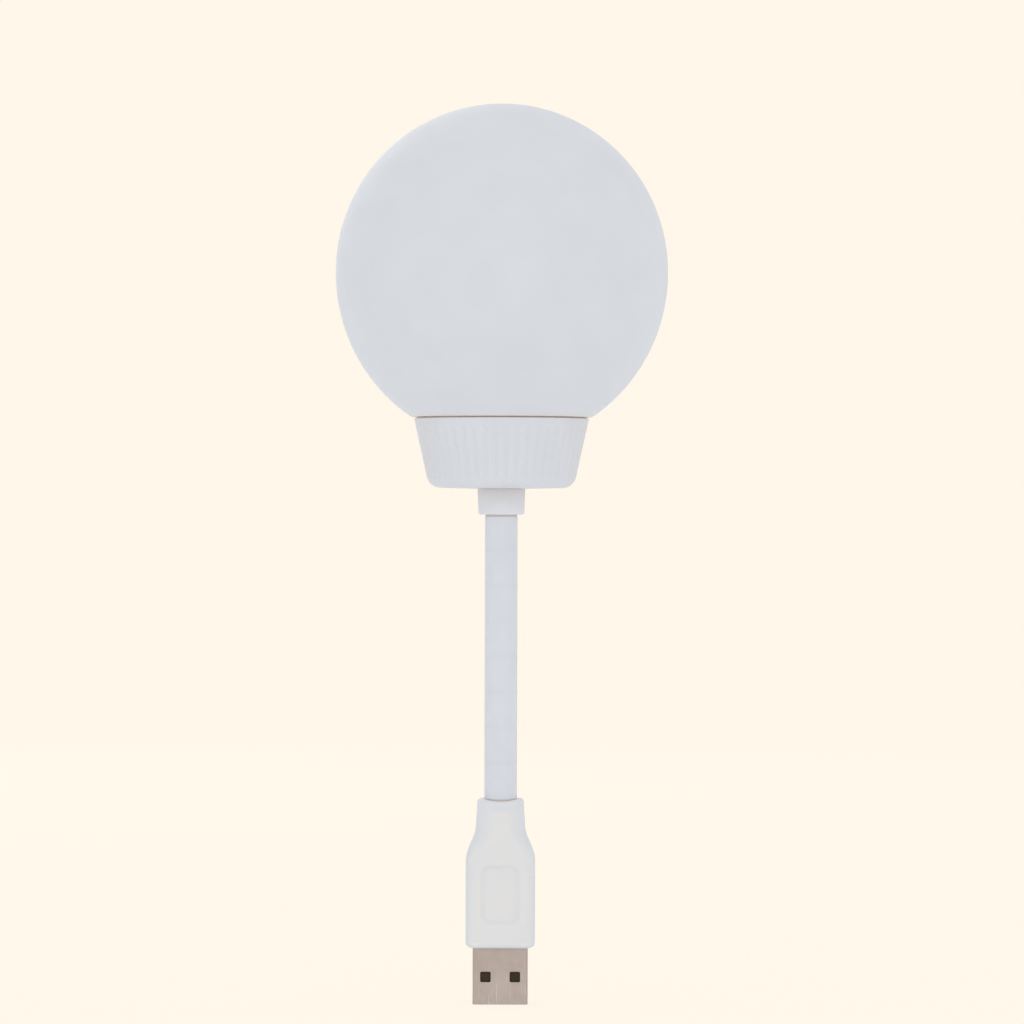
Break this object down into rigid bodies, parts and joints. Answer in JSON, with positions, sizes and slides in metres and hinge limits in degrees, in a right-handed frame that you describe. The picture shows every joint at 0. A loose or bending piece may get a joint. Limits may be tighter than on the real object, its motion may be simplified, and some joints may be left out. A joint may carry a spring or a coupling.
{
  "type": "usb globe lamp",
  "caption": "Small night light: frosted globe on a fluted tapered collar, bendable sleeved neck and a moulded USB-A plug.",
  "frame": {"origin": "centre of the plug's shoulder, where the metal shell leaves the moulding", "axes": "+Z from the plug to the globe, +X across the plug's broad face, -Y out of its front broad face"},
  "size_m": [0.0724, 0.0724, 0.1961],
  "materials": {
    "frosted_plastic": "satin",
    "white_plastic": "satin",
    "white_silicone": "matte",
    "plug_elastomer": "matte",
    "natural_plastic": "matte",
    "nickel_steel": "satin",
    "black_plastic": "matte",
    "gold_contact": "satin",
    "plated_steel": "satin",
    "spring_steel": "satin",
    "solder": "satin",
    "grey_jacket": "matte",
    "red_insulation": "satin",
    "black_insulation": "satin",
    "board_white": "satin",
    "led_phosphor": "satin",
    "resistor_black": "satin"
  },
  "bodies": {
    "plug": {"plug_overmould": "plug_elastomer", "plug_inner_mould": "natural_plastic", "usb_shell": "nickel_steel", "usb_insulator": "black_plastic", "contact_power": "gold_contact", "contact_ground": "gold_contact", "contacts_data": "gold_contact", "plug_lead_red": "red_insulation", "plug_lead_black": "black_insulation", "solder_joints": "solder", "neck_ferrule_bottom": "plated_steel", "neck_sleeve_1": "white_silicone", "neck_coil_1": "spring_steel", "neck_cable_1": "grey_jacket"},
    "neck_link_2": {"neck_sleeve_2": "white_silicone", "neck_coil_2": "spring_steel", "neck_cable_2": "grey_jacket"},
    "neck_link_3": {"neck_sleeve_3": "white_silicone", "neck_coil_3": "spring_steel", "neck_cable_3": "grey_jacket"},
    "neck_link_4": {"neck_sleeve_4": "white_silicone", "neck_coil_4": "spring_steel", "neck_cable_4": "grey_jacket"},
    "neck_link_5": {"neck_sleeve_5": "white_silicone", "neck_coil_5": "spring_steel", "neck_cable_5": "grey_jacket"},
    "neck_link_6": {"neck_sleeve_6": "white_silicone", "neck_coil_6": "spring_steel", "neck_cable_6": "grey_jacket"},
    "neck_link_7": {"neck_sleeve_7": "white_silicone", "neck_coil_7": "spring_steel", "neck_cable_7": "grey_jacket"},
    "neck_link_8": {"neck_sleeve_8": "white_silicone", "neck_coil_8": "spring_steel", "neck_cable_8": "grey_jacket"},
    "head": {"globe_diffuser": "frosted_plastic", "lamp_collar": "white_plastic", "neck_bush": "white_plastic", "neck_ferrule_top": "plated_steel", "lock_washer": "plated_steel", "ferrule_nut": "plated_steel", "led_board": "board_white", "led_chips": "led_phosphor", "led_resistors": "resistor_black", "reflector_plate": "white_plastic", "board_screws": "plated_steel", "head_lead_red": "red_insulation", "head_lead_black": "black_insulation", "neck_sleeve_9": "white_silicone", "neck_coil_9": "spring_steel", "neck_cable_9": "grey_jacket"}
  },
  "joints": [
    {"name": "neck_bend_1", "type": "hinge", "parent": "plug", "child": "neck_link_2", "pos_m": [0, 0, 0.03645], "axis": [1, 0, 0], "range_deg": [-22.5, 22.5]},
    {"name": "neck_bend_2", "type": "hinge", "parent": "neck_link_2", "child": "neck_link_3", "pos_m": [0, 0, 0.04415], "axis": [0, 1, 0], "range_deg": [-22.5, 22.5]},
    {"name": "neck_bend_3", "type": "hinge", "parent": "neck_link_3", "child": "neck_link_4", "pos_m": [0, 0, 0.05185], "axis": [1, 0, 0], "range_deg": [-22.5, 22.5]},
    {"name": "neck_bend_4", "type": "hinge", "parent": "neck_link_4", "child": "neck_link_5", "pos_m": [0, 0, 0.05955], "axis": [0, 1, 0], "range_deg": [-22.5, 22.5]},
    {"name": "neck_bend_5", "type": "hinge", "parent": "neck_link_5", "child": "neck_link_6", "pos_m": [0, 0, 0.06725], "axis": [1, 0, 0], "range_deg": [-22.5, 22.5]},
    {"name": "neck_bend_6", "type": "hinge", "parent": "neck_link_6", "child": "neck_link_7", "pos_m": [0, 0, 0.07495], "axis": [0, 1, 0], "range_deg": [-22.5, 22.5]},
    {"name": "neck_bend_7", "type": "hinge", "parent": "neck_link_7", "child": "neck_link_8", "pos_m": [0, 0, 0.08265], "axis": [1, 0, 0], "range_deg": [-22.5, 22.5]},
    {"name": "neck_bend_8", "type": "hinge", "parent": "neck_link_8", "child": "head", "pos_m": [0, 0, 0.09035], "axis": [0, 1, 0], "range_deg": [-22.5, 22.5]}
  ]
}
